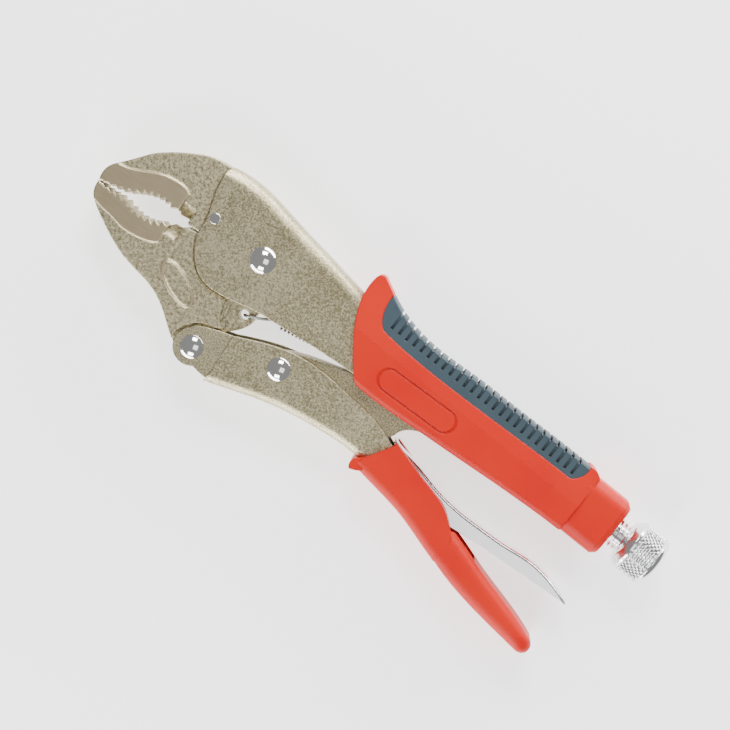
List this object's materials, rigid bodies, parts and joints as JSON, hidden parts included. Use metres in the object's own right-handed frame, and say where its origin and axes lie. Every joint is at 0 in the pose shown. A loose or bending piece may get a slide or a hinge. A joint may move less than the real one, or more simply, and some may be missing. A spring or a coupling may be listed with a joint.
{
  "type": "locking pliers",
  "caption": "Curved-jaw locking pliers, 250 mm class, with wire cutter, toggle linkage, release lever, knurled adjusting screw and moulded red grips.",
  "frame": {"origin": "middle of the jaw mouth, on the mid-plane of the tool", "axes": "+X along the upper handle from the mouth to the knob, +Y from the lower handle to the upper one, +Z along the rivets; the tool lies on its side"},
  "size_m": [0.2572, 0.0799, 0.0216],
  "materials": {
    "nickel_sheet": "matte plated",
    "forged_steel": "grainy plated forging",
    "polished_rivet": "polished",
    "plain_steel": "drawn wire",
    "chrome_lever": "polished",
    "chrome_screw": "satin plated",
    "grip_red": "satin moulded",
    "grip_slate": "soft moulded"
  },
  "bodies": {
    "upper_handle_body": {"fixed_handle": "nickel_sheet", "fixed_jaw": "forged_steel", "jaw_locating_pin": "polished_rivet", "main_pivot_rivet": "polished_rivet", "spring_anchor_pin": "plain_steel", "upper_grip": "grip_red", "upper_grip_insert": "grip_slate", "return_spring": "plain_steel"},
    "lower_jaw_body": {"lower_jaw": "forged_steel", "jaw_handle_rivet": "polished_rivet"},
    "lower_handle_body": {"lower_handle": "nickel_sheet", "link_rivet": "polished_rivet", "lower_grip": "grip_red", "release_lever_pin": "plain_steel"},
    "toggle_link_body": {"toggle_link": "nickel_sheet"},
    "release_lever_body": {"release_lever": "chrome_lever"},
    "adjusting_screw_body": {"adjusting_screw": "chrome_screw"},
    "screw_knob_body": {"screw_knob": "chrome_screw"}
  },
  "joints": [
    {"name": "jaw_pivot", "type": "hinge", "parent": "upper_handle_body", "child": "lower_jaw_body", "pos_m": [0.046, 0.011, 0], "axis": [0, 0, 1], "range_deg": [0, 16], "deforming": ["return_spring"]},
    {"name": "handle_pivot", "type": "hinge", "parent": "lower_jaw_body", "child": "lower_handle_body", "pos_m": [0.0453, -0.0316, 0], "axis": [0, 0, 1], "range_deg": [-57, 0]},
    {"name": "link_pivot", "type": "hinge", "parent": "lower_handle_body", "child": "toggle_link_body", "pos_m": [0.0765, -0.0174, 0], "axis": [0, 0, 1], "range_deg": [0, 62]},
    {"name": "release_lever_pivot", "type": "hinge", "parent": "lower_handle_body", "child": "release_lever_body", "pos_m": [0.144, -0.0215, 0], "axis": [0, 0, 1], "range_deg": [-8, 0]},
    {"name": "screw_feed", "type": "slide", "parent": "upper_handle_body", "child": "adjusting_screw_body", "axis": [1, 0, 0], "range_m": [0, 0.012]},
    {"name": "knob_turn", "type": "hinge", "parent": "adjusting_screw_body", "child": "screw_knob_body", "pos_m": [0.226, 0.014, 0], "axis": [1, 0, 0], "continuous": true}
  ],
  "couplings": [
    {"joint": "handle_pivot", "follows": "jaw_pivot", "ratio": -3.5},
    {"joint": "link_pivot", "follows": "jaw_pivot", "ratio": 3.8},
    {"joint": "knob_turn", "follows": "screw_feed", "rad_per_m": 3590.4}
  ]
}
